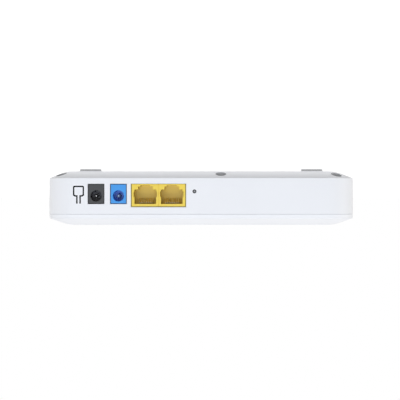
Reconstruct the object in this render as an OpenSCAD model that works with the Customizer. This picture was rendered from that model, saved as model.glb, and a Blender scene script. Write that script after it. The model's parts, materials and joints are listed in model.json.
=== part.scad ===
// Optical network terminal: a flat, free-standing case that holds one circuit board with its sockets,
// optical assembly, processor, power supply and reset switch.
// It stands right side up on its feet. +X runs along the width, the socket face looks towards -Y and
// +Z is up. The origin is the middle of the footprint, level with the soles of the feet. Millimetres.

/* [Case] */
// Width of the case
case_w = 173.5; // [173:0.5:180]
// Depth of the case, from the socket face to the front
case_d = 120; // [118:0.5:130]
// Height from the soles of the feet to the top face
case_h = 31.8; // [31.4:0.1:33]
// Plan radius of the upright corners
corner_r = 15; // [14.5:0.5:16]
// Thickness of the moulded walls
wall = 2; // [1.8:0.1:2.2]
// Height of the base's underside above the soles of the feet
base_z = 1.25; // [1:0.05:1.5]
// How far the base's sloping band runs in from its rim
base_bevel_in = 11.2; // [10.6:0.1:11.6]
// Rise of the base's sloping band
base_bevel_h = 4; // [3.7:0.05:4.2]
// How far the cover's sloping band runs in from its rim
cover_bevel_in = 12; // [11.5:0.1:13]
// Rise of the cover's sloping band
cover_bevel_h = 3.9; // [3.6:0.1:4]
// Height of the parting line between the base and the cover
seam_z = 25.6; // [25.2:0.1:25.9]
// Width of the chamfer that each half has at the parting line
seam_chamfer = 0.25; // [0.15:0.05:0.35]

/* [Feet] */
// Width of one rubber foot, along the case's width
foot_w = 11.8; // [10:0.1:13]
// Depth of one rubber foot
foot_d = 6; // [5:0.5:8]
// Distance of the feet from the middle of the case, sideways
foot_x = 63.45; // [61:0.05:65]
// Distance of the feet from the middle of the case, front to back
foot_y = 43; // [41:0.5:44]
// Height of the pad that carries each foot
foot_pad_h = 0.35; // [0.2:0.05:0.5]
// How deep a foot is set into the base
foot_recess = 0.8; // [0.5:0.1:1]

/* [Circuit board] */
// Height of the board's upper face
pcb_top = 8.7; // [8.6:0.1:8.9]
// Thickness of the board
pcb_t = 1.6; // [1.2:0.2:1.6]
// Board edge on the side without sockets, from the middle
pcb_left = 62; // [58:1:64]
// Board edge on the socket side, from the middle
pcb_right = 72; // [71:0.5:72.5]
// Gap between the board's rear edge and the outer rear face
pcb_rear_gap = 3; // [2.6:0.1:3.4]
// Depth of the board, front to back
pcb_d = 101; // [99:1:103]

/* [Sockets] */
// How far the socket faces lie behind the rear face
face_recess = 0.2; // [0.1:0.05:0.4]
// Gap between a socket and the edge of its window
window_gap = 0.2; // [0.15:0.05:0.3]
// Sideways place of the power socket
dc_x = 58.8; // [58.5:0.1:59.5]
// Sideways place of the optical socket
optical_x = 46.3; // [46:0.1:47]
// Width of the power and optical sockets
socket_w = 9; // [8.8:0.1:9.2]
// Height of the power and optical sockets
socket_h = 11; // [10.8:0.1:11.2]
// Length of the power and optical sockets
socket_d = 13.5; // [13:0.1:14]
// Height of the round mouths above the board
mouth_z = 6.6; // [6.4:0.1:6.8]
// Radius of the round mouths
mouth_r = 3.1; // [2.9:0.05:3.2]
// Radius of the power socket's centre pin
dc_pin_r = 1; // [0.95:0.05:1.05]
// Sideways place of the network socket
lan_x = 23.9; // [23.7:0.1:24.1]
// Width of the double network socket
lan_w = 30.5; // [30:0.1:30.6]
// Height of the double network socket
lan_h = 12.7; // [12.5:0.1:13]
// Length of the double network socket
lan_d = 16; // [15.5:0.5:16.5]
// Distance between the two network ports
lan_pitch = 14.8; // [14.7:0.1:15]
// Width of one port's cavity
port_w = 12.1; // [11.8:0.1:12.2]
// Height of one port's cavity
port_h = 8.1; // [7.8:0.1:8.3]
// Depth of one port's cavity
port_d = 12.5; // [12:0.1:13]

/* [Reset switch] */
// Sideways place of the reset switch
reset_x = 3.8; // [3:0.1:5]
// Height of the reset switch's axis above the board
reset_z = 4.1; // [3.9:0.1:4.3]
// Radius of the pinhole in the rear wall
pinhole_r = 1.1; // [0.9:0.05:1.2]
// Full travel of the reset button
reset_travel = 0.25; // [0.2:0.05:0.3]

/* [Wall mounting] */
// Distance between the two keyholes
keyhole_pitch = 100; // [90:5:100]
// Radius of the keyholes' round entries
keyhole_r = 3.5; // [3.2:0.1:4]
// Width of the keyholes' narrow ends
keyhole_slot_w = 3.6; // [3.2:0.1:4]
// Length of the keyholes' narrow ends, from the entry's centre
keyhole_slot_l = 7; // [6:0.5:8]

/* [Status lights] */
// Number of status lights
light_count = 5; // [3:1:6]
// Distance between neighbouring status lights
light_pitch = 9; // [8:0.5:9]
// Radius of the light guide's posts
light_post_r = 1.2; // [1:0.1:1.3]

/* [Hidden] */

// Facets of the case's corners and of small round features
corner_fn = 72;
round_fn = 48;
// Overlap that keeps cutting bodies clear of the faces they cut
cut = 1;

rear_y = -case_d / 2;
corner_x = case_w / 2 - corner_r;
corner_y = case_d / 2 - corner_r;
base_rim_z = base_z + base_bevel_h;
cover_rim_z = case_h - cover_bevel_h;
floor_z = base_z + wall;
ceiling_z = case_h - wall;
// How far the case's edges are blended to both sides: at the rims, and where a band meets its flat
base_rim_blend = 0.3;
base_flat_blend = 1.8;
cover_rim_blend = 0.9;
cover_flat_blend = 2.2;
// How far the control point of each sloping band stands out, which makes the band bulge by half of that
base_bulge = 0.6;
cover_bulge = 0.3;
inner_r = corner_r - wall;

pcb_under = pcb_top - pcb_t;
pcb_rear = rear_y + pcb_rear_gap;
face_y = rear_y + face_recess;
axis_z = pcb_top + mouth_z;

// Case screws: [x, y] of each, three along the sockets and two at the front
case_screw_at = [
    [79.2, rear_y + 8.7], [-11.05, rear_y + 5.7], [-76.2, rear_y + 5.8],
    [77.5, -rear_y - 9], [-77.5, -rear_y - 9]
];
screw_column_r = 4.9;
screw_pocket_r = 3;
screw_pocket_top = 8.5;
screw_column_top = 12;
screw_clear_r = 1.7;
screw_head_r = 2.7;
screw_head_h = 2.2;
screw_shank_r = 1.25;
screw_l = 10;
pilot_gap = 0.03;

// Board screws: [x, y] of each
pcb_screw_at = [[67, pcb_rear + 26], [-57, pcb_rear + 6], [67, pcb_rear + 87], [-57, pcb_rear + 87]];
pcb_boss_r = 3;
pcb_hole_r = 1.6;
pcb_screw_r = 1.1;

lan_rear = face_y + lan_d;
port_top = pcb_top + 11.1;
port_low = port_top - port_h;
contact_pitch = 1.02;
contact_w = 0.45;
contact_t = 0.3;
contact_z = port_top - 0.55;

reset_axis_z = pcb_top + reset_z;
reset_tip_y = rear_y + wall + 0.3;
reset_body_y = reset_tip_y + 2.9;
reset_stem_r = 1.7;
reset_nose_r = 0.6;

chip_z = pcb_top;
soc_at = [4, 2];
soc_w = 15;
soc_h = 1.3;
pad_t = 0.5;
sink_w = 22;
sink_base_t = 2;
sink_h = 9;
sink_fins = 8;
sink_fin_t = 1;

light_row_x = -40;
light_y = pcb_rear + 97;
led_h = 0.8;
guide_z = 21;
guide_t = 2;

plastic_white = [0.93, 0.94, 0.96];
board_green = [0.05, 0.33, 0.17];
steel = [0.75, 0.76, 0.78];
gold = [0.85, 0.68, 0.3];
ic_black = [0.1, 0.1, 0.11];

// Points of a smooth bend that runs from a to c along the sides a-b and b-c
function bend(a, b, c, steps) =
    [for (i = [0:steps]) let (t = i / steps) (1 - t) * (1 - t) * a + 2 * t * (1 - t) * b + t * t * c];

// The point at a distance from one point towards another
function towards(from, to, distance) = from + distance * (to - from) / norm(to - from);

// Edge of the base in section: underside, bulging sloping band and upright wall, up to its chamfered rim
function base_outline() =
    let (flat_edge = [corner_r - base_bevel_in, base_z],
         rim = [corner_r, base_rim_z],
         run = rim - flat_edge,
         belly = (flat_edge + rim) / 2 + base_bulge * [run[1], -run[0]] / norm(run),
         band_low = towards(flat_edge, belly, base_flat_blend),
         band_high = towards(rim, belly, base_rim_blend))
    concat(
        [[0, base_z]],
        bend(flat_edge - [base_flat_blend, 0], flat_edge, band_low, 4),
        [for (i = [1:5]) bend(band_low, belly, band_high, 6)[i]],
        bend(band_high, rim, rim + [0, base_rim_blend], 4),
        [[corner_r, seam_z - seam_chamfer], [corner_r - seam_chamfer, seam_z], [0, seam_z]]
    );

// Hollow of the base in section
function base_hollow() = [
    [0, floor_z],
    [corner_r - base_bevel_in, floor_z],
    [inner_r, base_rim_z + wall * 0.8],
    [inner_r, seam_z + cut],
    [0, seam_z + cut]
];

// Edge of the cover in section: chamfered rim, short upright wall, sloping band and top face
function cover_outline() =
    let (flat_edge = [corner_r - cover_bevel_in, case_h],
         rim = [corner_r, cover_rim_z],
         run = flat_edge - rim,
         belly = (flat_edge + rim) / 2 + cover_bulge * [run[1], -run[0]] / norm(run),
         band_low = towards(rim, belly, cover_rim_blend),
         band_high = towards(flat_edge, belly, cover_flat_blend))
    concat(
        [[0, seam_z], [corner_r - seam_chamfer, seam_z], [corner_r, seam_z + seam_chamfer]],
        bend(rim - [0, cover_rim_blend], rim, band_low, 6),
        [for (i = [1:4]) bend(band_low, belly, band_high, 5)[i]],
        bend(band_high, flat_edge, flat_edge - [cover_flat_blend, 0], 5),
        [[0, case_h]]
    );

// Hollow of the cover in section
function cover_hollow() = [
    [0, seam_z - cut],
    [inner_r, seam_z - cut],
    [inner_r, cover_rim_z - wall * 0.9],
    [corner_r - cover_bevel_in, ceiling_z],
    [0, ceiling_z]
];

// A rounded slab whose four sides and corners all have the section given by points, which starts at the
// corners' axes and reaches outwards; low and high are the heights of the section at those axes
module swept_slab(points, low, high) {
    translate([-corner_x, -corner_y, low])
        cube([2 * corner_x, 2 * corner_y, high - low]);
    for (side = [0, 1])
        mirror([0, side, 0])
            translate([-corner_x, corner_y, 0])
                rotate([90, 0, 90])
                    linear_extrude(2 * corner_x)
                        polygon(points);
    for (side = [0, 1])
        mirror([side, 0, 0])
            translate([corner_x, corner_y, 0])
                rotate([90, 0, 0])
                    linear_extrude(2 * corner_y)
                        polygon(points);
    for (side = [0, 1], end = [0, 1])
        mirror([side, 0, 0])
            mirror([0, end, 0])
                translate([corner_x, corner_y, 0])
                    rotate_extrude(angle = 90, $fn = corner_fn)
                        polygon(points);
}

// A block centred on x and resting on z, running back from y
module block(x, y, z, size) {
    translate([x - size[0] / 2, y, z])
        cube(size);
}

// A block centred on [x, y] and resting on z
module chip(at, z, size) {
    translate([at[0] - size[0] / 2, at[1] - size[1] / 2, z])
        cube(size);
}

// A round bar from y towards +Y
module bar_y(x, y, z, r, length) {
    translate([x, y, z])
        rotate([-90, 0, 0])
            cylinder(r = r, h = length, $fn = round_fn);
}

// An upright post
module post(at, z, r, length) {
    translate([at[0], at[1], z])
        cylinder(r = r, h = length, $fn = round_fn);
}

// A flat rectangle with round corners, centred
module soft_rect(size, r, fn = round_fn) {
    square([size[0], size[1] - 2 * r], center = true);
    square([size[0] - 2 * r, size[1]], center = true);
    for (sx = [-1, 1], sy = [-1, 1])
        translate([sx * (size[0] / 2 - r), sy * (size[1] / 2 - r)])
            circle(r, $fn = fn);
}

// Unit normal of a step, and the offset of point i of a bent strip t thick, mitred between its two steps
function normal(step) = [-step[1], step[0]] / norm(step);
function mitre(points, i, t) =
    let (last = len(points) - 1,
         before = normal(points[max(i, 1)] - points[max(i, 1) - 1]),
         after = normal(points[min(i, last - 1) + 1] - points[min(i, last - 1)]),
         both = before + after)
    both * t / (both * both);

// A bent strip in section: points along its middle, t thick, with mitred bends
module bent_strip(points, t) {
    last = len(points) - 1;
    polygon(concat(
        [for (i = [0:last]) points[i] + mitre(points, i, t)],
        [for (i = [last:-1:0]) points[i] - mitre(points, i, t)]
    ));
}

// A strip of metal w wide, bent in the YZ plane along [y, z] points, centred on x
module strip(x, points, t, w) {
    translate([x - w / 2, 0, 0])
        rotate([90, 0, 90])
            linear_extrude(w)
                bent_strip(points, t);
}

// A vent slot through the base's floor, long way front to back
module vent_slot(x, y, length) {
    translate([x, y, base_z - cut])
        linear_extrude(wall + 2 * cut)
            soft_rect([2, length], 0.99, 20);
}

// A keyhole in plan: round entry at the origin, narrow end towards +Y
module keyhole() {
    circle(keyhole_r, $fn = round_fn);
    translate([-keyhole_slot_w / 2, 0])
        square([keyhole_slot_w, keyhole_slot_l]);
    translate([0, keyhole_slot_l])
        circle(keyhole_slot_w / 2, $fn = round_fn);
}

// A plug's head in plan, standing on the origin, with cut corners towards the legs
module plug_head(w, h, corner, shoulder) {
    polygon(concat(
        bend([-w / 2, corner], [-w / 2, 0], [-w / 2 + corner, 0], 5),
        bend([w / 2 - corner, 0], [w / 2, 0], [w / 2, corner], 5),
        [[w / 2, h - shoulder * 0.7], [w / 2 - shoulder, h],
         [shoulder - w / 2, h], [-w / 2, h - shoulder * 0.7]]
    ));
}

// Symbol beside the sockets, in plan: the line around a plug's head and its two parallel legs
module plug_symbol() {
    line = 0.8;
    head_w = 6.2;
    head_h = 6.1;
    leg_gap = 1;
    leg_end = 10;
    difference() {
        plug_head(head_w, head_h, 0.9, 1);
        translate([0, line])
            plug_head(head_w - 2 * line, head_h - 2 * line, 0.4, 0.6);
        translate([-leg_gap / 2, head_h / 2])
            square([leg_gap, head_h]);
    }
    for (side = [0, 1])
        mirror([side, 0])
            translate([leg_gap / 2, head_h - line])
                square([line, leg_end - head_h + line]);
}

module base_shell() {
    color(plastic_white)
    difference() {
        swept_slab(base_outline(), base_z, seam_z);
        difference() {
            swept_slab(base_hollow(), floor_z, seam_z + cut);
            for (at = case_screw_at)
                post(at, base_z, screw_column_r, screw_column_top - base_z);
            for (at = pcb_screw_at)
                post(at, floor_z - cut, pcb_boss_r, pcb_under - floor_z + cut);
        }
        for (at = case_screw_at) {
            post(at, base_z - cut, screw_pocket_r, screw_pocket_top - base_z + cut);
            post(at, screw_pocket_top - cut, screw_clear_r, screw_column_top - screw_pocket_top + 2 * cut);
        }
        for (at = pcb_screw_at)
            post(at, floor_z - 0.5, pcb_screw_r + pilot_gap, pcb_under - floor_z + cut);
        for (x = [dc_x, optical_x])
            socket_window(x, socket_w, socket_h);
        socket_window(lan_x, lan_w, lan_h);
        bar_y(reset_x, rear_y - cut, reset_axis_z, pinhole_r, wall + 2 * cut);
        translate([68.6, rear_y + 0.3, pcb_top + 0.9])
            rotate([90, 0, 0])
                linear_extrude(0.3 + cut)
                    plug_symbol();
        for (side = [-1, 1])
            translate([side * keyhole_pitch / 2, -8, base_z - cut])
                linear_extrude(wall + 2 * cut)
                    keyhole();
        for (row = [-1, 1], i = [0:8])
            vent_slot((i - 4) * 8, row * 14 + 6, 22);
        for (sx = [-1, 1], sy = [-1, 1])
            translate([sx * foot_x, sy * foot_y, base_z - cut])
                linear_extrude(foot_recess + cut)
                    soft_rect([foot_w, foot_d], 1.2, 24);
    }
    for (sx = [-1, 1], sy = [-1, 1])
        color(plastic_white)
            foot_pad(sx, sy);
}

// Opening in the rear wall around a socket that stands on the board
module socket_window(x, w, h) {
    block(x, rear_y - cut, pcb_top - window_gap, [w + 2 * window_gap, wall + 2 * cut, h + 2 * window_gap]);
}

// Raised pad under the base that a foot is set into
module foot_pad(sx, sy) {
    translate([sx * foot_x, sy * foot_y, base_z - foot_pad_h])
        difference() {
            linear_extrude(foot_pad_h)
                soft_rect([foot_w + 0.8, foot_d + 0.8], 1.6, 24);
            translate([0, 0, -cut])
                linear_extrude(foot_pad_h + 2 * cut)
                    soft_rect([foot_w, foot_d], 1.2, 24);
        }
}

module top_cover() {
    lip_t = 1.1;
    lip_h = 2;
    lip_gap = 0.15;
    lip_x = case_w / 2 - wall - lip_gap;
    lip_y = case_d / 2 - wall - lip_gap;
    post_r = 3.4;
    color(plastic_white)
    difference() {
        union() {
            difference() {
                swept_slab(cover_outline(), seam_z, case_h);
                difference() {
                    swept_slab(cover_hollow(), seam_z - cut, ceiling_z);
                    for (at = case_screw_at)
                        post(at, seam_z - 2 * cut, post_r, case_h - seam_z);
                }
            }
            translate([0, 0, seam_z - lip_h])
                linear_extrude(lip_h + 1.2)
                    difference() {
                        soft_rect([2 * lip_x, 2 * lip_y], inner_r - lip_gap);
                        soft_rect([2 * (lip_x - lip_t), 2 * (lip_y - lip_t)], inner_r - lip_gap - lip_t);
                    }
            intersection() {
                for (at = case_screw_at)
                    post(at, screw_column_top, post_r, seam_z - screw_column_top + 0.5);
                translate([0, 0, screw_column_top])
                    linear_extrude(case_h)
                        soft_rect([2 * lip_x, 2 * lip_y], inner_r - lip_gap);
            }
        }
        for (at = case_screw_at)
            post(at, screw_column_top - cut, screw_shank_r + pilot_gap, screw_l - 2.5 + cut);
        for (i = [0:light_count - 1])
            post([light_at(i), light_y], ceiling_z - cut, light_post_r + 0.1, wall + 2 * cut);
    }
}

// Sideways place of one status light
function light_at(i) = light_row_x + (i - (light_count - 1) / 2) * light_pitch;

module rubber_feet() {
    color([0.62, 0.62, 0.63])
    for (sx = [-1, 1], sy = [-1, 1])
        translate([sx * foot_x, sy * foot_y, 0])
            linear_extrude(base_z + foot_recess - 0.05)
                soft_rect([foot_w - 0.1, foot_d - 0.1], 1.15, 24);
}

// A pan-head screw, head down, with a cross recess; z is the height of its seat
module screw(at, z, head_r, head_h, shank_r, length) {
    translate([at[0], at[1], z])
        difference() {
            union() {
                translate([0, 0, -head_h])
                    cylinder(r1 = head_r * 0.8, r2 = head_r, h = head_h * 0.4, $fn = round_fn);
                translate([0, 0, -head_h * 0.6])
                    cylinder(r = head_r, h = head_h * 0.6, $fn = round_fn);
                cylinder(r = shank_r, h = length, $fn = round_fn);
            }
            for (turn = [0, 90])
                rotate(turn)
                    translate([-head_r * 0.55, -head_r * 0.14, -head_h - cut])
                        cube([head_r * 1.1, head_r * 0.28, head_h * 0.6 + cut]);
        }
}

module case_screws() {
    color(steel)
    for (at = case_screw_at)
        screw(at, screw_pocket_top, screw_head_r, screw_head_h, screw_shank_r, screw_l);
}

module pcb_screws() {
    color(steel)
    for (at = pcb_screw_at)
        translate([0, 0, pcb_top])
            mirror([0, 0, 1])
                screw(at, 0, 2.5, 1.6, pcb_screw_r, pcb_t + 3.6);
}

module pcb() {
    width = pcb_left + pcb_right;
    color(board_green)
    difference() {
        translate([-pcb_left, pcb_rear, pcb_under])
            cube([width, pcb_d, pcb_t]);
        post(case_screw_at[1], pcb_under - cut, screw_column_r + 0.5, pcb_t + 2 * cut);
        block(case_screw_at[1][0], pcb_rear - cut, pcb_under - cut,
              [2 * screw_column_r + 1, case_screw_at[1][1] - pcb_rear + cut, pcb_t + 2 * cut]);
        for (at = pcb_screw_at)
            post(at, pcb_under - cut, pcb_hole_r, pcb_t + 2 * cut);
        for (side = [-1, 1])
            post([lan_x + side * lan_pitch / 2, lan_rear - 7], pcb_under - cut, 1.65, pcb_t + 2 * cut);
        for (port = [-1, 1])
            translate([lan_x + port * lan_pitch / 2, lan_rear + 0.3, pcb_under - cut])
                linear_extrude(pcb_t + 2 * cut)
                    soft_rect([9, 0.9], 0.44);
        block(dc_x, face_y + socket_d - 0.2, pcb_under - cut, [3.4, 0.9, pcb_t + 2 * cut]);
        block(dc_x, dc_contact_y() - 0.45, pcb_under - cut, [2.8, 0.9, pcb_t + 2 * cut]);
        for (side = [-1, 1])
            block(reset_x + side * 3.15, reset_body_y + 1, pcb_under - cut, [0.9, 1.7, pcb_t + 2 * cut]);
    }
}

// Plain housing of a socket with a round mouth, standing on the board
module round_mouth_housing(x, mouth_d) {
    difference() {
        block(x, face_y, pcb_top, [socket_w, socket_d, socket_h]);
        bar_y(x, face_y - cut, axis_z, mouth_r, mouth_d + cut);
    }
}

// Depth of the power socket's mouth, radii of its pin's shoulder and tail, and where its spring contact
// goes down to the board
dc_mouth_d = 9.5;
dc_shoulder_r = 1.3;
dc_tail_r = 0.7;
function dc_contact_y() = face_y + dc_mouth_d - 0.8;

module dc_jack_housing() {
    color([0.16, 0.16, 0.17])
    difference() {
        round_mouth_housing(dc_x, dc_mouth_d);
        bar_y(dc_x, face_y, axis_z, dc_shoulder_r + 0.02, socket_d + cut);
        block(dc_x, face_y + 1.6, axis_z - mouth_r - 0.6, [2.6, dc_mouth_d - 1.6, 1.6]);
        block(dc_x, dc_contact_y() - 0.3, pcb_top - cut, [2.6, 0.6, axis_z - pcb_top]);
    }
}

module dc_jack_pin() {
    tip_y = face_y + 1.1;
    shoulder_y = face_y + dc_mouth_d;
    back = face_y + socket_d;
    color([0.7, 0.71, 0.73]) {
        bar_y(dc_x, tip_y + dc_pin_r, axis_z, dc_pin_r, shoulder_y - tip_y - dc_pin_r);
        bar_y(dc_x, shoulder_y, axis_z, dc_shoulder_r, back - shoulder_y);
        bar_y(dc_x, back, axis_z, dc_tail_r, 0.8);
        translate([dc_x, tip_y + dc_pin_r, axis_z])
            rotate([90, 0, 0])
                rotate_extrude($fn = round_fn)
                    intersection() {
                        circle(dc_pin_r, $fn = round_fn);
                        square(dc_pin_r);
                    }
    }
}

module dc_jack_contact() {
    z = axis_z - mouth_r - 0.35;
    y = dc_contact_y();
    color(steel)
        strip(dc_x, [[face_y + 2, z], [face_y + 4.5, z + 0.65], [y, z], [y, pcb_under - 1.5]], 0.3, 2.2);
}

module dc_jack_terminal() {
    back = face_y + socket_d;
    color(steel)
    difference() {
        block(dc_x, back, pcb_under - 1.5, [3, 0.5, axis_z + 2.5 - pcb_under + 1.5]);
        bar_y(dc_x, back - cut, axis_z, dc_tail_r + 0.02, 3);
    }
}

// Depth of the optical socket's mouth, and radii of the sleeve, of its shoulder and of the glass ferrule
optical_mouth_d = 8;
sleeve_r = 1.05;
sleeve_shoulder_r = 1.3;
ferrule_r = 0.5;
ferrule_gap = 0.015;

module optical_housing() {
    color([0.22, 0.55, 0.88])
    difference() {
        round_mouth_housing(optical_x, optical_mouth_d);
        bar_y(optical_x, face_y, axis_z, sleeve_shoulder_r + 0.02, socket_d + cut);
    }
}

module optical_sleeve() {
    tip_y = face_y + 1.3;
    shoulder_y = face_y + optical_mouth_d;
    color([0.12, 0.22, 0.45])
    difference() {
        union() {
            bar_y(optical_x, tip_y, axis_z, sleeve_r, shoulder_y - tip_y);
            bar_y(optical_x, shoulder_y, axis_z, sleeve_shoulder_r, socket_d - optical_mouth_d);
        }
        bar_y(optical_x, tip_y - cut, axis_z, ferrule_r + ferrule_gap, socket_d);
    }
}

module optical_ferrule() {
    tip_y = face_y + 1.1;
    crown = 0.25;
    color([0.96, 0.96, 0.95])
        translate([optical_x, tip_y, axis_z])
            rotate([-90, 0, 0])
                rotate_extrude($fn = round_fn)
                    polygon(concat(
                        bend([0, 0], [ferrule_r, 0], [ferrule_r, crown], 5),
                        [[ferrule_r, face_y + socket_d + 1 - tip_y], [0, face_y + socket_d + 1 - tip_y]]
                    ));
}

bosa_y = rear_y + face_recess + socket_d;
bosa_l = 8.5;
bosa_r = 3.2;
side_can_y = bosa_y + 4.6;

module bosa_body() {
    color([0.72, 0.7, 0.64])
    difference() {
        union() {
            bar_y(optical_x, bosa_y, axis_z, 2.2, 2);
            bar_y(optical_x, bosa_y + 1.5, axis_z, bosa_r, bosa_l - 1.5);
            translate([optical_x - bosa_r - 0.4, bosa_y + 2.2, axis_z - 2.4])
                cube([3, 4.8, 4.8]);
        }
        bar_y(optical_x, bosa_y - cut, axis_z, ferrule_r + ferrule_gap, 1.5 + cut);
    }
}

module laser_can() {
    y = bosa_y + bosa_l;
    color([0.8, 0.74, 0.5]) {
        bar_y(optical_x, y, axis_z, 2.35, 1.8);
        bar_y(optical_x, y + 1.8, axis_z, 2.8, 1.2);
    }
}

module photodiode_can() {
    x = optical_x - bosa_r - 0.4;
    color([0.8, 0.74, 0.5])
        translate([x, side_can_y, axis_z])
            rotate([0, -90, 0]) {
                cylinder(r = 2, h = 0.9, $fn = round_fn);
                translate([0, 0, 0.9])
                    cylinder(r = 2.3, h = 0.8, $fn = round_fn);
            }
}

module bosa_leads() {
    lead = 0.4;
    back = bosa_y + bosa_l + 3;
    color(gold)
    for (dx = [-1, 0, 1])
        strip(optical_x + dx * 1.3,
              [[back, axis_z], [back + 1.8, axis_z], [back + 1.8, pcb_top]], lead, lead);
    side = optical_x - bosa_r - 0.4 - 1.7;
    color(gold)
    for (dy = [-1, 0, 1])
        translate([side, side_can_y + dy * 1.1 - lead / 2, 0])
            rotate([90, 0, 0])
                mirror([0, 0, 1])
                    linear_extrude(lead)
                        bent_strip([[0, axis_z], [-0.7, axis_z], [-0.7, pcb_top]], lead);
}

module optics_shield() {
    low_x = 39.6;
    high_x = 54;
    low_y = bosa_y + 0.6;
    length = 19;
    height = 12.4;
    t = 0.3;
    color(steel)
    difference() {
        translate([low_x, low_y, pcb_top])
            cube([high_x - low_x, length, height]);
        translate([low_x + t, low_y + t, pcb_top - cut])
            cube([high_x - low_x - 2 * t, length - 2 * t, height - t + cut]);
        bar_y(optical_x, low_y - cut, axis_z, 3.4, t + 2 * cut);
        for (ix = [0:3], iy = [0:4])
            post([low_x + 2.7 + ix * 3, low_y + 3.5 + iy * 3], pcb_top + height - t - cut, 0.8, t + 2 * cut);
    }
}

// Opening of one network port in elevation: cavity, side rebates and the stepped latch notch below
module port_shape() {
    translate([-port_w / 2, 0])
        square([port_w, port_h]);
    translate([-port_w / 2 - 0.5, 1.1])
        square([port_w + 1, 3]);
    translate([-4.1, -1.7])
        square([8.2, 2]);
    translate([-2.75, -2.4])
        square([5.5, 2]);
}

module lan_jack_housing() {
    color([0.93, 0.78, 0.22]) {
        difference() {
            block(lan_x, face_y, pcb_top, [lan_w, lan_d, lan_h]);
            for (side = [-1, 1])
                translate([lan_x + side * lan_pitch / 2, face_y + port_d, port_low])
                    rotate([90, 0, 0])
                        linear_extrude(port_d + cut)
                            port_shape();
            for (side = [-1, 1])
                block(lan_x + side * lan_pitch / 2, face_y + port_d - cut, contact_z - 0.3,
                      [8.4, lan_d, 0.6]);
            block(lan_x, face_y - cut, pcb_top - cut, [0.3, cut + 0.3, lan_h + 2 * cut]);
        }
        for (side = [-1, 1])
            post([lan_x + side * lan_pitch / 2, lan_rear - 7], pcb_under, 1.6, pcb_t);
    }
}

module lan_contacts() {
    back = lan_rear + 0.3;
    color(gold)
    for (side = [-1, 1], i = [0:7])
        strip(lan_x + side * lan_pitch / 2 + (i - 3.5) * contact_pitch,
              [[face_y + port_d - 1.4, contact_z - 2.5], [face_y + 4.6, contact_z - 0.5],
               [face_y + 4.2, contact_z], [back, contact_z], [back, pcb_under - 1]],
              contact_t, contact_w);
}

// A gull-wing row of leads on both long sides of a chip, long sides along X
module gull_leads(at, body_d, z, count, pitch, w) {
    for (side = [0, 1], i = [0:count - 1])
        translate([at[0] + (i - (count - 1) / 2) * pitch, at[1], 0])
            mirror([0, side, 0])
                strip(0, [[body_d / 2, z + 0.8], [body_d / 2 + 0.4, z + 0.8], [body_d / 2 + 0.7, z + 0.11],
                          [body_d / 2 + 1.3, z + 0.11]], 0.2, w);
}

transformer_at = [[lan_x - lan_pitch / 2, lan_rear + 9], [lan_x + lan_pitch / 2 - 0.6, lan_rear + 9]];
transformer_size = [12.7, 7, 5.5];

module lan_transformers() {
    color(ic_black)
    for (at = transformer_at)
        chip(at, pcb_top + 0.15, transformer_size);
}

module transformer_leads() {
    color(steel)
    for (at = transformer_at)
        gull_leads(at, transformer_size[1], pcb_top, 8, 1.27, 0.5);
}

module reset_switch_body() {
    color(ic_black)
    difference() {
        block(reset_x, reset_body_y, pcb_top, [6, 3.4, 7]);
        bar_y(reset_x, reset_body_y - cut, reset_axis_z, reset_stem_r + 0.05, cut + 1.95 + reset_travel);
    }
}

module reset_switch_frame() {
    t = 0.3;
    color(steel) {
        difference() {
            block(reset_x, reset_body_y - t, pcb_top, [6 + 2 * t, t, 7]);
            bar_y(reset_x, reset_body_y - cut - t, reset_axis_z, reset_stem_r + 0.05, 2 * cut);
        }
        for (side = [-1, 1]) {
            block(reset_x + side * (3 + t / 2), reset_body_y - t, pcb_top, [t, 3 + t, 7]);
            block(reset_x + side * (3 + t / 2), reset_body_y + 1.2, pcb_under - 1.2, [t, 1.3, pcb_t + 1.3]);
        }
    }
}

module reset_button() {
    stem_y = reset_tip_y + 1.1;
    color([0.8, 0.8, 0.8]) {
        bar_y(reset_x, reset_tip_y, reset_axis_z, reset_nose_r, stem_y + 0.5 - reset_tip_y);
        bar_y(reset_x, stem_y, reset_axis_z, reset_stem_r, reset_body_y + 1.9 - stem_y);
    }
}

module system_chip() {
    color(ic_black)
        chip(soc_at, chip_z, [soc_w, soc_w, soc_h]);
}

module thermal_pad() {
    color([0.55, 0.65, 0.75])
        chip(soc_at, chip_z + soc_h, [soc_w - 1, soc_w - 1, pad_t]);
}

module heat_sink() {
    base = chip_z + soc_h + pad_t;
    step = (sink_w - sink_fin_t) / (sink_fins - 1);
    color([0.7, 0.71, 0.73]) {
        chip(soc_at, base, [sink_w, sink_w, sink_base_t]);
        for (i = [0:sink_fins - 1])
            chip([soc_at[0] - sink_w / 2 + sink_fin_t / 2 + i * step, soc_at[1]], base + sink_base_t - 0.5,
                 [sink_fin_t, sink_w, sink_h - sink_base_t + 0.5]);
    }
}

module memory_chip() {
    color(ic_black)
        chip([-20, 2], chip_z, [9, 13.5, 1.1]);
}

flash_at = [-20, -18];
driver_at = [47, -12];
converter_at = [[50, 6], [34, 14], [50, 24]];

module small_chip(at) {
    chip(at, chip_z + 0.1, [4.9, 3.9, 1.5]);
}

module flash_chip() {
    color(ic_black)
        small_chip(flash_at);
}

module laser_driver_chip() {
    color(ic_black)
        chip(driver_at, chip_z, [5, 5, 0.9]);
}

module converter_chips() {
    color(ic_black)
    for (at = converter_at)
        small_chip(at);
}

module chip_leads() {
    color(steel)
    for (at = concat([flash_at], converter_at))
        gull_leads(at, 3.9, pcb_top, 4, 1.27, 0.4);
}

module power_inductors() {
    color([0.28, 0.28, 0.3])
    for (at = [[62, 6], [34, 24], [62, 24]])
        difference() {
            chip(at, chip_z, [7, 7, 4.2]);
            translate([at[0], at[1], chip_z + 3.9])
                cylinder(r = 2.4, h = cut, $fn = round_fn);
        }
}

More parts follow.
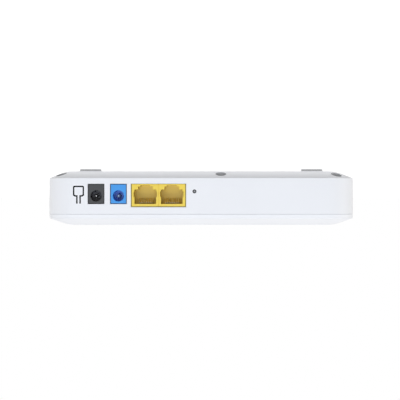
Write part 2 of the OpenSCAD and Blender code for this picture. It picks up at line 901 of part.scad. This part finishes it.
// Each power capacitor: [x, y, radius, height]
capacitor_at = [[64.5, -16, 4, 11.5], [64.5, -6, 4, 11.5], [42, 6, 3.15, 7.7]];
seat_h = 1;

module power_capacitors() {
    color([0.72, 0.74, 0.77])
    for (c = capacitor_at)
        translate([c[0], c[1], chip_z + seat_h])
            rotate_extrude($fn = round_fn)
                difference() {
                    square([c[2], c[3] - seat_h]);
                    translate([c[2] + 0.05, 0.9])
                        circle(0.35, $fn = 24);
                    translate([c[2] - 0.35, c[3] - seat_h])
                        rotate(-45)
                            square([1, 0.6], center = true);
                }
}

module capacitor_seats() {
    color(ic_black)
    for (c = capacitor_at)
        chip([c[0], c[1]], chip_z, [2 * c[2] + 0.4, 2 * c[2] + 0.4, seat_h]);
}

module clock_crystal() {
    color(steel)
        translate([-8, -22, chip_z])
            linear_extrude(3.5)
                soft_rect([10.8, 4.4], 2.19);
}

module status_leds() {
    color([0.95, 0.95, 0.9])
    for (i = [0:light_count - 1])
        chip([light_at(i), light_y], chip_z, [2, 1.25, led_h]);
}

module light_guide() {
    lowest = chip_z + led_h + 0.5;
    run = (light_count - 1) * light_pitch + 6;
    color([0.85, 0.9, 0.95, 0.6]) {
        for (i = [0:light_count - 1])
            post([light_at(i), light_y], lowest, light_post_r, case_h - 0.1 - lowest);
        chip([light_row_x, light_y], guide_z, [run, 3.4, guide_t]);
        for (side = [-1, 1])
            post([light_row_x + side * (run / 2 - 1), light_y], guide_z + guide_t - 0.5, 0.9,
                 ceiling_z - guide_z - guide_t + 0.5);
    }
}

// Small parts in tidy rows: [x, y of the first, count, step along y]
ceramic_rows = [[-6, -14, 6, 2.4], [16, -8, 8, 2.4], [-28, -6, 6, 2.6], [28, -20, 6, 3], [55, -10, 5, 3]];
resistor_rows = [[-12, -14, 5, 2.4], [20, -8, 8, 2.4], [-32, -6, 6, 2.6], [24, 8, 6, 3]];

module ceramic_capacitors() {
    color([0.66, 0.5, 0.34])
    for (row = ceramic_rows, i = [0:row[2] - 1])
        chip([row[0], row[1] + i * row[3]], chip_z, [1.6, 0.8, 0.8]);
}

module chip_resistors() {
    color([0.14, 0.14, 0.15])
    for (row = resistor_rows, i = [0:row[2] - 1])
        chip([row[0], row[1] + i * row[3]], chip_z, [1.6, 0.8, 0.45]);
    color([0.14, 0.14, 0.15])
    for (i = [0:light_count - 1])
        chip([light_at(i), light_y - 4], chip_z, [1.6, 0.8, 0.45]);
}

base_shell();
top_cover();
rubber_feet();
case_screws();
pcb();
pcb_screws();
dc_jack_housing();
dc_jack_pin();
dc_jack_contact();
dc_jack_terminal();
optical_housing();
optical_sleeve();
optical_ferrule();
bosa_body();
laser_can();
photodiode_can();
bosa_leads();
optics_shield();
lan_jack_housing();
lan_contacts();
lan_transformers();
transformer_leads();
reset_switch_body();
reset_switch_frame();
reset_button();
system_chip();
thermal_pad();
heat_sink();
memory_chip();
flash_chip();
laser_driver_chip();
converter_chips();
chip_leads();
power_inductors();
power_capacitors();
capacitor_seats();
clock_crystal();
status_leds();
light_guide();
ceramic_capacitors();
chip_resistors();
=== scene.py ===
import json
import math

import bmesh
import bpy
from mathutils import Matrix, Vector


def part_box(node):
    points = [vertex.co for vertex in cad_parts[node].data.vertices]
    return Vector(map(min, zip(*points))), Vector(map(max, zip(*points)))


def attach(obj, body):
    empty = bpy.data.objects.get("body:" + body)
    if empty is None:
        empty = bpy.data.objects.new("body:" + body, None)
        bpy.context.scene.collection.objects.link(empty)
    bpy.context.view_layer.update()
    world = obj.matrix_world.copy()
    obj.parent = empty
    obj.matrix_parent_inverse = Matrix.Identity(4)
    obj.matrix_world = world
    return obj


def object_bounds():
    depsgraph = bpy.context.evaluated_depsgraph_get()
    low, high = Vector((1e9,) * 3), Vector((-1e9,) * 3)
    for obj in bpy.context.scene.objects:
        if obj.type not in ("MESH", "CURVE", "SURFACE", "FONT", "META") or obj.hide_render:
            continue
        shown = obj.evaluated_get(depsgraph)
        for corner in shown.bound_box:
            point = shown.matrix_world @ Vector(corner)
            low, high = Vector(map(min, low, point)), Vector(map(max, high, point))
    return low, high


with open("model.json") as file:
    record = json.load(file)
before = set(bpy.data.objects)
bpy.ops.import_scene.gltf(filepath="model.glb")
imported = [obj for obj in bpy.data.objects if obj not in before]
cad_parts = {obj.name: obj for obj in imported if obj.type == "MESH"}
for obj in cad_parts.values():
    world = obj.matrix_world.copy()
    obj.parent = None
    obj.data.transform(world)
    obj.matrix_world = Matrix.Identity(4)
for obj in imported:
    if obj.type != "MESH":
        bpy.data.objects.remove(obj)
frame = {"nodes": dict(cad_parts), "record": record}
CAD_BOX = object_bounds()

MM = 0.001
REAR_Y, FEET_Z = CAD_BOX[0][1], CAD_BOX[0][2]
NODES = frame["nodes"]


# ---------------------------------------------------------------- places taken from the frame

def middle(node):
    """Centre of a carried-over node's box."""
    low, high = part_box(node)
    return (low + high) / 2


def plan_centre(points):
    """Centre of the points' box, seen from above."""
    xs = [point.x for point in points]
    ys = [point.y for point in points]
    return Vector((min(xs) + max(xs), min(ys) + max(ys))) / 2


def island_centres(node, reach):
    """Plan centres of a node's separate bodies, each within reach of its first point."""
    groups = []
    for vertex in NODES[node].data.vertices:
        point = vertex.co.xy
        for group in groups:
            if (group[0] - point).length < reach:
                group.append(point.copy())
                break
        else:
            groups.append([point.copy()])
    return [plan_centre(group) for group in groups]


SEAM_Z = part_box("base_shell")[1].z
SCREWS = island_centres("case_screws", reach=8 * MM)
DC_AXIS = middle("dc_jack_pin")
SOCKET_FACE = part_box("lan_jack_housing")[0].y
BOARD_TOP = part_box("pcb")[1].z
PORTS_X = [
    (opening["box_m"][0][0] + opening["box_m"][1][0]) / 2
    for opening in frame["record"]["physics"]["openings"] if opening["name"].startswith("lan_port")
]
# Height of the rim where the base's sloping band meets its upright walls
BASE_RIM_Z = 5.25 * MM
# Radius that holds a screw pocket, and a height above all of them
POCKET_R = 3.01 * MM
POCKETS_TOP = 9.0 * MM
# Distance from a port's middle that holds its side walls
PORT_REACH = 6.9 * MM


# ---------------------------------------------------------------- materials

class Shader:
    """A Principled material whose base colour, roughness and bump are built from node fields."""

    def __init__(self, name, **sockets):
        self.material = bpy.data.materials.new(name)
        self.material.use_nodes = True
        self.tree = self.material.node_tree
        self.bsdf = self.tree.nodes["Principled BSDF"]
        for socket, value in sockets.items():
            self.bsdf.inputs[socket.replace("_", " ")].default_value = value

    def add(self, kind, **settings):
        node = self.tree.nodes.new(kind)
        for key, value in settings.items():
            if hasattr(node, key):
                setattr(node, key, value)
            else:
                node.inputs[key.replace("_", " ")].default_value = value
        return node

    def link(self, source, target):
        self.tree.links.new(source, target)

    def place(self):
        """Coordinates in the row frame, in metres."""
        return self.add("ShaderNodeTexCoord").outputs["Object"]

    def math(self, operation, first, second=0.0):
        node = self.add("ShaderNodeMath", operation=operation)
        for socket, value in zip(node.inputs, (first, second)):
            if isinstance(value, (int, float)):
                socket.default_value = value
            else:
                self.link(value, socket)
        return node.outputs[0]

    def gap(self, field, at):
        """How far the field is from at, to either side."""
        return self.math("ABSOLUTE", self.math("SUBTRACT", field, at))

    def along(self, axis):
        """One coordinate, X, Y or Z."""
        split = self.add("ShaderNodeSeparateXYZ")
        self.link(self.place(), split.inputs[0])
        return split.outputs[axis]

    def off_axis(self, point, keep):
        """Distance from the line through point, where keep has a 0 for the line's direction."""
        flat = self.add("ShaderNodeVectorMath", operation="MULTIPLY")
        self.link(self.place(), flat.inputs[0])
        flat.inputs[1].default_value = keep
        gap = self.add("ShaderNodeVectorMath", operation="DISTANCE")
        self.link(flat.outputs[0], gap.inputs[0])
        gap.inputs[1].default_value = [p * k for p, k in zip(point, keep)]
        return gap.outputs["Value"]

    def noise(self, size, detail=3.0, stretch=(1, 1, 1), rough=0.5):
        """Noise whose blobs are about size metres across, divided by stretch along each axis."""
        mapping = self.add("ShaderNodeMapping")
        mapping.inputs["Scale"].default_value = [s / size for s in stretch]
        self.link(self.place(), mapping.inputs["Vector"])
        noise = self.add("ShaderNodeTexNoise", Scale=1.0, Detail=detail, Roughness=rough)
        self.link(mapping.outputs["Vector"], noise.inputs["Vector"])
        return noise.outputs["Fac"]

    def spread(self, field, low, high, start=0.3, end=0.7):
        """The field's start to end range, spread over low to high."""
        node = self.add("ShaderNodeMapRange")
        for socket, value in zip(("From Min", "From Max", "To Min", "To Max"), (start, end, low, high)):
            node.inputs[socket].default_value = value
        self.link(field, node.inputs["Value"])
        return node.outputs["Result"]

    def blend(self, field, first, second):
        """A colour between first and second, each a colour or a node output, by the field."""
        node = self.add("ShaderNodeMix", data_type="RGBA")
        for socket, value in zip((node.inputs[6], node.inputs[7]), (first, second)):
            if isinstance(value, tuple):
                socket.default_value = (*value, 1)
            else:
                self.link(value, socket)
        self.link(field, node.inputs[0])
        return node.outputs[2]

    def shade(self, colour, field):
        """The colour multiplied by the field."""
        node = self.add("ShaderNodeVectorMath", operation="SCALE")
        self.link(colour, node.inputs[0])
        self.link(field, node.inputs["Scale"])
        return node.outputs[0]

    def colour(self, source):
        self.link(source, self.bsdf.inputs["Base Color"])

    def roughness(self, source):
        self.link(source, self.bsdf.inputs["Roughness"])

    def bump(self, field, depth, strength=1.0):
        node = self.add("ShaderNodeBump")
        node.inputs["Strength"].default_value = strength
        node.inputs["Distance"].default_value = depth
        previous = self.bsdf.inputs["Normal"].links
        if previous:
            self.link(previous[0].from_socket, node.inputs["Normal"])
        self.link(field, node.inputs["Height"])
        self.link(node.outputs["Normal"], self.bsdf.inputs["Normal"])


def srgb(r, g, b):
    """A colour given as 0 to 255 values, in linear light."""
    return tuple(((c / 255 + 0.055) / 1.055) ** 2.4 if c > 10 else c / 255 / 12.92 for c in (r, g, b))


def grained(name, colour, roughness, grain, depth, shift, **sockets):
    """A shader with fine spark-eroded grain, slow tone changes and uneven gloss, and its colour output."""
    made = Shader(name, **sockets)
    slow = made.noise(18 * MM, detail=2)
    tone = made.blend(made.spread(slow, 0, 1), tuple(c * (1 - shift) for c in colour), colour)
    fine = made.noise(grain, detail=2, rough=0.6)
    made.roughness(made.spread(fine, roughness - 0.05, roughness + 0.06))
    made.bump(fine, depth)
    return made, tone


def moulded(name, colour, roughness=0.4, grain=0.35 * MM, depth=0.008 * MM, shift=0.04, **sockets):
    """Injection-moulded plastic."""
    made, tone = grained(name, colour, roughness, grain, depth, shift, **sockets)
    made.colour(tone)
    return made.material


def case_plastic(name, colour):
    """White case plastic with painted light and shade: painted light on the cover, and painted shade in
    the parting line, where the sloping bands meet the upright walls, and in the screw pockets."""
    made, tone = grained(name, colour, roughness=0.4, grain=0.35 * MM, depth=0.006 * MM, shift=0.012)
    z = made.along("Z")
    # Painted shade: a dark line along the parting line
    parting_line_shade = made.spread(made.gap(z, SEAM_Z), 0.82, 1.0, 0.05 * MM, 0.25 * MM)
    # Painted light: the cover is lighter than the base, as if lit from above
    cover = made.spread(z, 1.0, 1.05, SEAM_Z, SEAM_Z + 0.05 * MM)
    # Painted shade around the cover's rim, then painted light rising up its sloping band towards the top
    cover_rim_shade = made.spread(z, 1.0, 0.965, SEAM_Z + 1.1 * MM, SEAM_Z + 1.5 * MM)
    cover_slope_light = made.spread(z, 0.965, 1.01, SEAM_Z + 2.4 * MM, SEAM_Z + 3.2 * MM)
    # Painted shade on the base's sloping band, darker towards its rim, with slight painted light near the
    # flat; the upright walls above the rim are left out
    base_slope_shade = made.spread(z, 1.04, 0.78, BASE_RIM_Z - 3.2 * MM, BASE_RIM_Z - 0.4 * MM)
    base_walls = made.spread(z, 0, 1, BASE_RIM_Z - 0.1 * MM, BASE_RIM_Z + 0.15 * MM)
    # Painted shade in the screw pockets, below POCKETS_TOP
    to_screw = made.off_axis((*SCREWS[0], 0), (1, 1, 0))
    for screw in SCREWS[1:]:
        to_screw = made.math("MINIMUM", to_screw, made.off_axis((*screw, 0), (1, 1, 0)))
    pocket_shade = made.spread(to_screw, 0.62, 1.0, POCKET_R, POCKET_R + 0.05 * MM)
    above_pockets = made.spread(z, 0, 1, POCKETS_TOP, POCKETS_TOP + 0.5 * MM)
    tone = made.shade(tone, parting_line_shade)
    tone = made.shade(tone, cover)
    tone = made.shade(tone, made.math("MAXIMUM", cover_rim_shade, cover_slope_light))
    tone = made.shade(tone, made.math("MAXIMUM", base_slope_shade, base_walls))
    tone = made.shade(tone, made.math("MAXIMUM", pocket_shade, above_pockets))
    made.colour(tone)
    return made.material


def side_wall_shade(made, ports):
    """Painted shade for the upright side walls of the ports, whose middles are at ports, and 1 elsewhere.
    """
    to_port = made.math("MINIMUM", *(made.gap(made.along("X"), port) for port in ports))
    outside = made.spread(to_port, 0, 1, PORT_REACH, PORT_REACH + 0.1 * MM)
    facing = made.add("ShaderNodeSeparateXYZ")
    made.link(made.add("ShaderNodeNewGeometry").outputs["Normal"], facing.inputs[0])
    # Faces that turn sideways get the painted shade
    sideways_shade = made.spread(made.math("ABSOLUTE", facing.outputs["X"]), 1.0, 0.74, 0.6, 0.9)
    return made.math("MAXIMUM", sideways_shade, outside)


def deep_plastic(name, node, colour, painted_light_inside, start, end, painted_shade_fade=1.0, ports=()):
    """Socket plastic, which turns from colour to a lighter inside colour, painted light in the recess,
    from start to end behind the sockets' face.

    The inside colour is dimmed by the given factor away from the board, as painted shade. The outer rim of
    the face, in the gap of its window, gets painted shade, and the side walls of the ports, whose middles
    are at ports, get painted shade.
    """
    made, tone = grained(name, colour, roughness=0.42, grain=0.35 * MM, depth=0.008 * MM, shift=0.05)
    depth = made.math("SUBTRACT", made.along("Y"), SOCKET_FACE)
    # Painted shade: the recess darkens higher above the board
    height = made.spread(made.along("Z"), 0, 1, BOARD_TOP + 1 * MM, BOARD_TOP + 5.5 * MM)
    painted_inside_tone = made.blend(height, painted_light_inside, tuple(c * painted_shade_fade for c in painted_light_inside))
    tone = made.blend(made.spread(depth, 0, 1, start, end), tone, painted_inside_tone)
    # Painted shade on the ports' side walls
    if ports:
        tone = made.shade(tone, side_wall_shade(made, ports))
    low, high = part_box(node)
    past_rim = [
        made.math("SUBTRACT", made.gap(made.along(axis), (first + last) / 2), (last - first) / 2)
        for axis, first, last in (("X", low.x, high.x), ("Z", low.z, high.z))
    ]
    # Painted shade at the outer rim of the face, in the gap of its window, only within the wall's depth
    rim = made.spread(made.math("MAXIMUM", *past_rim), 1.0, 0.35, -0.42 * MM, -0.22 * MM)
    behind_window = made.spread(depth, 0, 1, 1.8 * MM, 2.2 * MM)
    made.colour(made.shade(tone, made.math("MAXIMUM", rim, behind_window)))
    return made.material


def metal(name, colour, roughness=0.28, brushed=(1, 1, 1)):
    """Plated or drawn metal with faint lines, which brushed makes finer along each axis."""
    made = Shader(name, Metallic=1.0)
    lines = made.noise(0.4 * MM, detail=3, stretch=brushed)
    made.colour(made.blend(made.spread(lines, 0, 1), tuple(c * 0.86 for c in colour), colour))
    made.roughness(made.spread(lines, roughness - 0.07, roughness + 0.1))
    made.bump(lines, 0.004 * MM)
    return made.material


def with_painted_highlight(name, at, side, painted_highlight, highlight_r, **sockets):
    """A round part along Y through at, which is bright within the given radius of its axis: a painted
    highlight.
    """
    made = Shader(name, **sockets)
    lines = made.noise(0.3 * MM, detail=3, stretch=(1, 0.2, 1))
    soft = 0.06 * MM
    # The painted highlight fills the middle; around it is the side colour
    outer = made.spread(made.off_axis(at, (1, 0, 1)), 0, 1, highlight_r - soft, highlight_r + soft)
    made.colour(made.blend(outer, painted_highlight, side))
    made.roughness(made.spread(lines, 0.24, 0.4))
    made.bump(lines, 0.003 * MM)
    return made.material


def board(name, mask, copper, tin):
    """Solder mask over patches of straight tracks and plain copper, with tinned vias."""
    made = Shader(name)
    patch, via_gap, half_pitch = 9 * MM, 3.4 * MM, 0.35 * MM
    patches = made.add("ShaderNodeTexVoronoi", distance="CHEBYCHEV", Scale=1 / patch, Randomness=0.8)
    vias = made.add("ShaderNodeTexVoronoi", Scale=1 / via_gap, Randomness=0.9)
    for cells in (patches, vias):
        made.link(made.place(), cells.inputs["Vector"])
    kind = made.add("ShaderNodeSeparateColor")
    made.link(patches.outputs["Color"], kind.inputs[0])
    runs_x = made.spread(kind.outputs[0], 1, 0, 0.40, 0.41)
    runs_y = made.spread(kind.outputs[0], 0, 1, 0.74, 0.75)
    along_x, along_y = (
        made.spread(made.math("PINGPONG", made.along(axis), half_pitch), 0, 1, 0.14 * MM, 0.17 * MM)
        for axis in ("Y", "X")
    )
    tracks_x = made.math("MULTIPLY", runs_x, along_x)
    tracks_y = made.math("MULTIPLY", runs_y, along_y)
    plain = made.math("SUBTRACT", 1.0, made.math("MAXIMUM", runs_x, runs_y))
    raised = made.math("MAXIMUM", made.math("MAXIMUM", tracks_x, tracks_y), plain)
    dots = made.spread(vias.outputs["Distance"], 1, 0, 0.075, 0.09)
    cloth = made.noise(0.5 * MM, detail=2)
    made.colour(made.blend(dots, made.blend(raised, mask, copper), tin))
    made.roughness(made.spread(cloth, 0.24, 0.36))
    made.bump(raised, 0.03 * MM, 0.5)
    made.bump(cloth, 0.004 * MM)
    return made.material


LOOKS = {
    "case_white": case_plastic("case_white", srgb(238, 239, 242)),
    "foot_grey": moulded("foot_grey", srgb(187, 187, 187), 0.75, grain=0.2 * MM, depth=0.02 * MM),
    "screw_steel": metal("screw_steel", srgb(150, 152, 156), 0.34),
    "board_green": board("board_green", srgb(20, 82, 46), srgb(34, 112, 62), srgb(176, 178, 164)),
    # Each socket is lighter inside its recess, as painted light
    "socket_black": deep_plastic("socket_black", "dc_jack_housing", srgb(49, 50, 51),
                                 srgb(108, 108, 114), start=2 * MM, end=7 * MM),
    "socket_blue": deep_plastic("socket_blue", "optical_housing", srgb(56, 151, 230),
                                srgb(108, 156, 240), start=0.5 * MM, end=4 * MM),
    "socket_yellow": deep_plastic("socket_yellow", "lan_jack_housing", srgb(241, 212, 79),
                                  srgb(255, 227, 112), start=1 * MM, end=5 * MM, painted_shade_fade=0.86, ports=PORTS_X),
    # Painted highlight: a bright spot in the middle of the power pin's tip
    "pin_nickel": with_painted_highlight("pin_nickel", DC_AXIS, srgb(84, 85, 86), srgb(176, 176, 177),
                          highlight_r=0.3 * MM, Metallic=1.0),
    "contact_steel": metal("contact_steel", srgb(205, 206, 208), 0.3),
    "contact_gold": metal("contact_gold", srgb(240, 226, 186), 0.45),
    "sleeve_blue": moulded("sleeve_blue", srgb(30, 54, 110), 0.35, grain=0.1 * MM, shift=0.1),
    # Painted highlight: a bright dot in the middle of the ferrule
    "ferrule_white": with_painted_highlight("ferrule_white", middle("optical_ferrule"), srgb(96, 136, 186),
                             srgb(212, 236, 250), highlight_r=0.28 * MM),
    "optic_metal": metal("optic_metal", srgb(196, 190, 176), 0.25, brushed=(1, 6, 1)),
    "can_gold": metal("can_gold", srgb(222, 190, 112), 0.2),
    "shield_tin": metal("shield_tin", srgb(206, 208, 210), 0.32, brushed=(1, 8, 1)),
    "chip_black": moulded("chip_black", srgb(38, 38, 40), 0.6, grain=0.15 * MM, depth=0.01 * MM),
    # Painted highlight on the reset button's nose, with painted shade around it in its hole
    "button_grey": with_painted_highlight("button_grey", middle("reset_button"), srgb(78, 79, 80),
                           srgb(216, 216, 216), highlight_r=0.45 * MM),
    "sink_aluminium": metal("sink_aluminium", srgb(200, 202, 204), 0.4),
    "pad_grey": moulded("pad_grey", srgb(150, 168, 186), 0.8, grain=0.3 * MM, depth=0.02 * MM),
    "ferrite_grey": moulded("ferrite_grey", srgb(70, 70, 72), 0.7, grain=0.2 * MM, depth=0.02 * MM),
    "capacitor_metal": metal("capacitor_metal", srgb(204, 206, 210), 0.3, brushed=(1, 1, 8)),
    "ceramic_tan": moulded("ceramic_tan", srgb(160, 122, 84), 0.5, grain=0.2 * MM),
    "led_white": moulded("led_white", srgb(240, 240, 226), 0.35, grain=0.2 * MM),
    "guide_clear": moulded("guide_clear", srgb(226, 232, 236), 0.2, grain=0.6 * MM, depth=0.001 * MM,
                           Transmission_Weight=0.5, IOR=1.58),
}
INK = moulded("symbol_ink", srgb(16, 17, 20), 0.6, grain=0.15 * MM, depth=0.01 * MM, shift=0.1,
              Specular_IOR_Level=0.1)


# ---------------------------------------------------------------- carried-over nodes

# Width of the broken edges on each carried-over node that shows; the others have SMALL_EDGE
EDGE = {"base_shell": 0.15 * MM, "top_cover": 0.15 * MM, "rubber_feet": 0.2 * MM,
        "dc_jack_housing": 0.15 * MM, "optical_housing": 0.15 * MM, "lan_jack_housing": 0.07 * MM}
SMALL_EDGE = 0.04 * MM


def dress(node, slot):
    """Welds a carried-over node's faces, breaks its edges and gives it its slot's look."""
    obj = NODES[node]
    for index in range(max(1, len(obj.material_slots))):
        if index < len(obj.material_slots):
            obj.material_slots[index].link = "OBJECT"
            obj.material_slots[index].material = LOOKS[slot]
        else:
            obj.data.materials.append(LOOKS[slot])
    weld = obj.modifiers.new("weld", "WELD")
    weld.merge_threshold = 0.001 * MM
    edge = obj.modifiers.new("edge", "BEVEL")
    edge.width = EDGE.get(node, SMALL_EDGE)
    edge.segments = 3 if node in EDGE else 2
    edge.limit_method = "ANGLE"
    edge.angle_limit = math.radians(35)
    tidy = obj.modifiers.new("shade", "WEIGHTED_NORMAL")
    tidy.keep_sharp = True


for part in frame["record"]["subparts"]:
    dress(part["node"], part["material_slot"])


# ---------------------------------------------------------------- pieces made here

def add_piece(name, mesh, look):
    """Puts a finished mesh in the scene as a piece of the case body."""
    obj = bpy.data.objects.new(name, mesh)
    bpy.context.collection.objects.link(obj)
    mesh.materials.append(look)
    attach(obj, "case")
    return obj


def bend(a, b, c, steps):
    """Points of a smooth bend that runs from a to c along the sides a-b and b-c."""
    a, b, c = Vector(a), Vector(b), Vector(c)
    return [
        (1 - t) ** 2 * a + 2 * t * (1 - t) * b + t * t * c
        for t in (step / steps for step in range(steps + 1))
    ]


# Place of the plug symbol engraved in the rear wall: how far the middle of its head's lower edge is out
# from the power socket's axis and up from the board
SYMBOL_OUT = 9.8 * MM
SYMBOL_UP = 0.9 * MM
# Its head's size, where its legs end above that edge, the gap between them and the width of its line
HEAD_W = 6.2 * MM
HEAD_H = 6.1 * MM
LEGS_END = 10 * MM
LEG_GAP = 1 * MM
LINE_W = 0.8 * MM
# Rise of its head's cut corners for their width, and the steps in its rounded ones
SHOULDER_RISE = 0.7
CORNER_STEPS = 6
# Depths of the ink's front and back behind the rear wall's face
INK_FRONT = 0.04 * MM
INK_BACK = 0.295 * MM


def plug_head(w, h, corner, shoulder, lift):
    """Half of the symbol's head, from the middle of its lower edge to its cut corner at the legs."""
    rounded = bend((w / 2 - corner, lift), (w / 2, lift), (w / 2, lift + corner), CORNER_STEPS)
    cut_from = Vector((w / 2, lift + h - shoulder * SHOULDER_RISE))
    cut_to = Vector((w / 2 - shoulder, lift + h))
    return [Vector((0, lift)), *rounded, cut_from, cut_to]


def symbol_ink():
    """Ink that fills the plug symbol's groove: a band around the head and down both legs."""
    centre = Vector((DC_AXIS.x + SYMBOL_OUT, BOARD_TOP + SYMBOL_UP))
    front, back = REAR_Y + INK_FRONT, REAR_Y + INK_BACK
    outer = plug_head(HEAD_W, HEAD_H, corner=0.9 * MM, shoulder=1.0 * MM, lift=0)
    inner = plug_head(HEAD_W - 2 * LINE_W, HEAD_H - 2 * LINE_W,
                      corner=0.4 * MM, shoulder=0.6 * MM, lift=LINE_W)
    outer += [Vector((LEG_GAP / 2 + LINE_W, y)) for y in (HEAD_H, LEGS_END)]
    inner += [Vector((LEG_GAP / 2, y)) for y in (HEAD_H - LINE_W, LEGS_END)]
    mirrored = [[Vector((-p.x, p.y)) for p in reversed(side[1:])] for side in (outer, inner)]
    outer, inner = mirrored[0] + outer, mirrored[1] + inner
    shape = bmesh.new()
    rings = []
    for out, within in zip(outer, inner):
        corners = [(out, front), (out, back), (within, back), (within, front)]
        rings.append([shape.verts.new((centre.x + p.x, y, centre.y + p.y)) for p, y in corners])
    for first, second in zip(rings, rings[1:]):
        for side in range(4):
            turn = (side + 1) % 4
            shape.faces.new((first[side], first[turn], second[turn], second[side]))
    shape.faces.new(rings[0])
    shape.faces.new(reversed(rings[-1]))
    bmesh.ops.recalc_face_normals(shape, faces=shape.faces)
    mesh = bpy.data.meshes.new("symbol_ink")
    shape.to_mesh(mesh)
    shape.free()
    ink = add_piece("symbol_ink", mesh, INK)
    edge = ink.modifiers.new("edge", "BEVEL")
    edge.width = 0.02 * MM
    edge.segments = 2


symbol_ink()


# ---------------------------------------------------------------- stage, light and camera

WHITE_LIGHT = (1, 1, 1, 1)


def seen_and_lit(tree, seen, lit):
    """One strength where the camera or a reflection sees it, and another where it lights the object."""
    path = tree.nodes.new("ShaderNodeLightPath")
    direct = tree.nodes.new("ShaderNodeMath")
    direct.operation = "MAXIMUM"
    tree.links.new(path.outputs["Is Camera Ray"], direct.inputs[0])
    tree.links.new(path.outputs["Is Glossy Ray"], direct.inputs[1])
    mix = tree.nodes.new("ShaderNodeMix")
    mix.inputs[2].default_value = lit
    mix.inputs[3].default_value = seen
    tree.links.new(direct.outputs[0], mix.inputs[0])
    return mix.outputs[0]


def stage_material():
    """Near-white ground that mostly glows, so that it stays pale and takes only faint shadows."""
    made = Shader("ground", Roughness=0.9, Base_Color=(0.28, 0.28, 0.28, 1), Emission_Color=WHITE_LIGHT)
    made.link(seen_and_lit(made.tree, seen=0.84, lit=0.54), made.bsdf.inputs["Emission Strength"])
    return made.material


floor_mesh = bpy.data.meshes.new("floor")
shape = bmesh.new()
bmesh.ops.create_grid(shape, x_segments=8, y_segments=8, size=8.0)
shape.to_mesh(floor_mesh)
shape.free()
floor = bpy.data.objects.new("floor", floor_mesh)
floor.location.z = FEET_Z - 0.05 * MM
bpy.context.collection.objects.link(floor)
floor_mesh.materials.append(stage_material())

world = bpy.data.worlds.new("studio")
bpy.context.scene.world = world
world.use_nodes = True
background = world.node_tree.nodes["Background"]
background.inputs["Color"].default_value = WHITE_LIGHT
world_strength = seen_and_lit(world.node_tree, seen=1.0, lit=0.46)
world.node_tree.links.new(world_strength, background.inputs["Strength"])


def softbox(name, place, size, level, colour=(1, 1, 1)):
    """A rectangular lamp aimed at the object that lights a facing surface to level, where 1 is white."""
    data = bpy.data.lights.new(name, "AREA")
    data.shape = "RECTANGLE"
    data.size, data.size_y = size
    data.energy = level * math.pi**2 * Vector(place).length_squared
    data.color = colour
    lamp = bpy.data.objects.new(name, data)
    lamp.location = place
    lamp.rotation_mode = "QUATERNION"
    lamp.rotation_quaternion = (-Vector(place)).to_track_quat("-Z", "Y")
    bpy.context.collection.objects.link(lamp)


softbox("key_light", (0.1, -1.15, 0.42), (0.6, 0.45), 0.315, (0.775, 0.853, 0.985))
softbox("left_light", (1.1, -0.35, 0.35), (0.8, 0.5), 0.10, (1.0, 0.93, 0.80))
softbox("right_light", (-1.1, -0.35, 0.35), (0.8, 0.5), 0.16, (1.0, 0.93, 0.80))
softbox("top_light", (-0.1, 0.15, 1.1), (1.2, 0.9), 0.30)

# The camera's distance from the rear wall, the width that it sees there, and the point it faces
DISTANCE = 0.600
FRAME_WIDTH = 0.2235
AIM_X = 0.7 * MM
AIM_Z = 17.59 * MM
SENSOR = 36.0
camera_data = bpy.data.cameras.new("camera")
camera_data.sensor_width = SENSOR
camera_data.lens = SENSOR * DISTANCE / FRAME_WIDTH
camera_data.clip_start = 0.05
camera_data.clip_end = 30
camera = bpy.data.objects.new("camera", camera_data)
camera.matrix_world = (
    Matrix.Translation((AIM_X, REAR_Y - DISTANCE, AIM_Z))
    @ Matrix.Rotation(math.radians(90), 4, "X")
    @ Matrix.Rotation(math.pi, 4, "Z")
)
bpy.context.collection.objects.link(camera)
bpy.context.scene.camera = camera
bpy.context.scene.view_settings.view_transform = "Standard"
